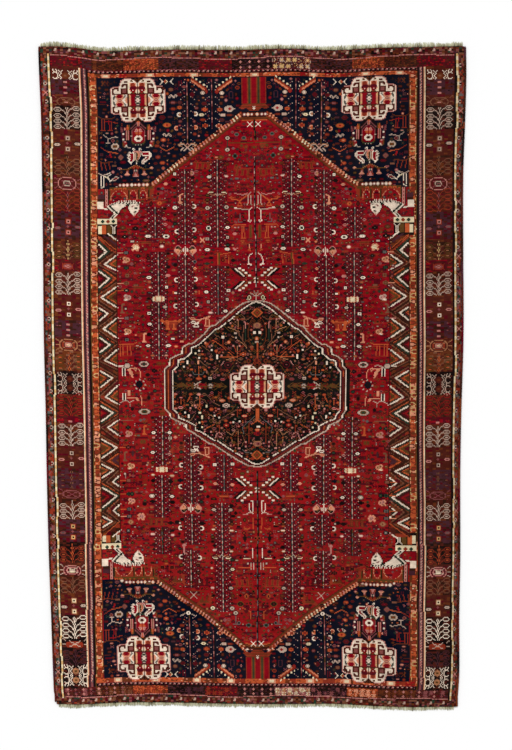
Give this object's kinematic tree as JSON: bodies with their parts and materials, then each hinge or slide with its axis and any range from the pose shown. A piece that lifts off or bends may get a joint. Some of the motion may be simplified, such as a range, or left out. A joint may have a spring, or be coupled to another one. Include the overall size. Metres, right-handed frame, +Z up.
{
  "type": "persian rug",
  "caption": "Hand-knotted tribal wool rug with overcast sides and short cut fringes, lying flat on the floor.",
  "frame": {"origin": "on the floor under the middle of the rug's footprint", "axes": "+Y along the rug's length towards its wider end, +X across it, +Z up from the floor through the pile"},
  "size_m": [1.6866, 2.6232, 0.01],
  "materials": {
    "pile_wool": "cut wool pile, hand-knotted, madder red with many dyes",
    "selvedge_wool": "overcast dark wool yarn",
    "warp_wool": "undyed spun warp ends"
  },
  "bodies": {
    "root": {"carpet": "pile_wool", "selvedge_left": "selvedge_wool", "selvedge_right": "selvedge_wool", "fringe_top": "warp_wool", "fringe_bottom": "warp_wool"}
  },
  "joints": []
}
